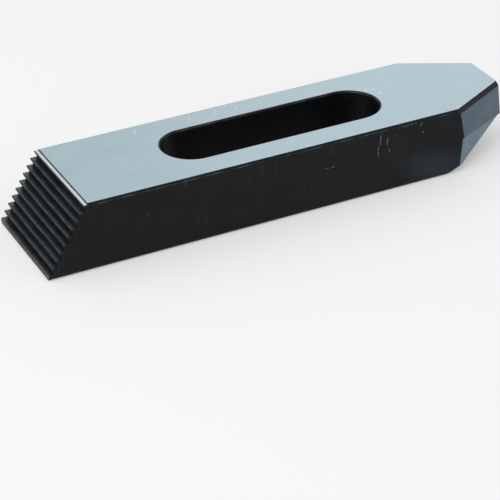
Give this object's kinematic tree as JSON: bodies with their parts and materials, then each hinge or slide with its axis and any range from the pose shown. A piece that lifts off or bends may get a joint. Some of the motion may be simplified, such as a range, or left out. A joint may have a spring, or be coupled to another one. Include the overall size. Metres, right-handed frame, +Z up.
{
  "type": "step clamp",
  "caption": "Step clamp: black steel bar with a long stud slot, a serrated heel for a step block and a tapered, bevelled nose that presses on the work. Stored on its back.",
  "frame": {"origin": "middle of the bar's box at the bottom, on the surface that the bar lies on", "axes": "X runs along the bar from the serrated heel at -X to the tapered nose at +X, Y is the width, and Z points up out of the clamping face. In use the bar is turned over, so +Z points at the work."},
  "size_m": [0.15, 0.036, 0.0206],
  "materials": {
    "black_steel": "black oxide on forged and milled steel, with a pale satin ground clamping face"
  },
  "bodies": {
    "root": {"clamp_bar": "black_steel"}
  },
  "joints": []
}
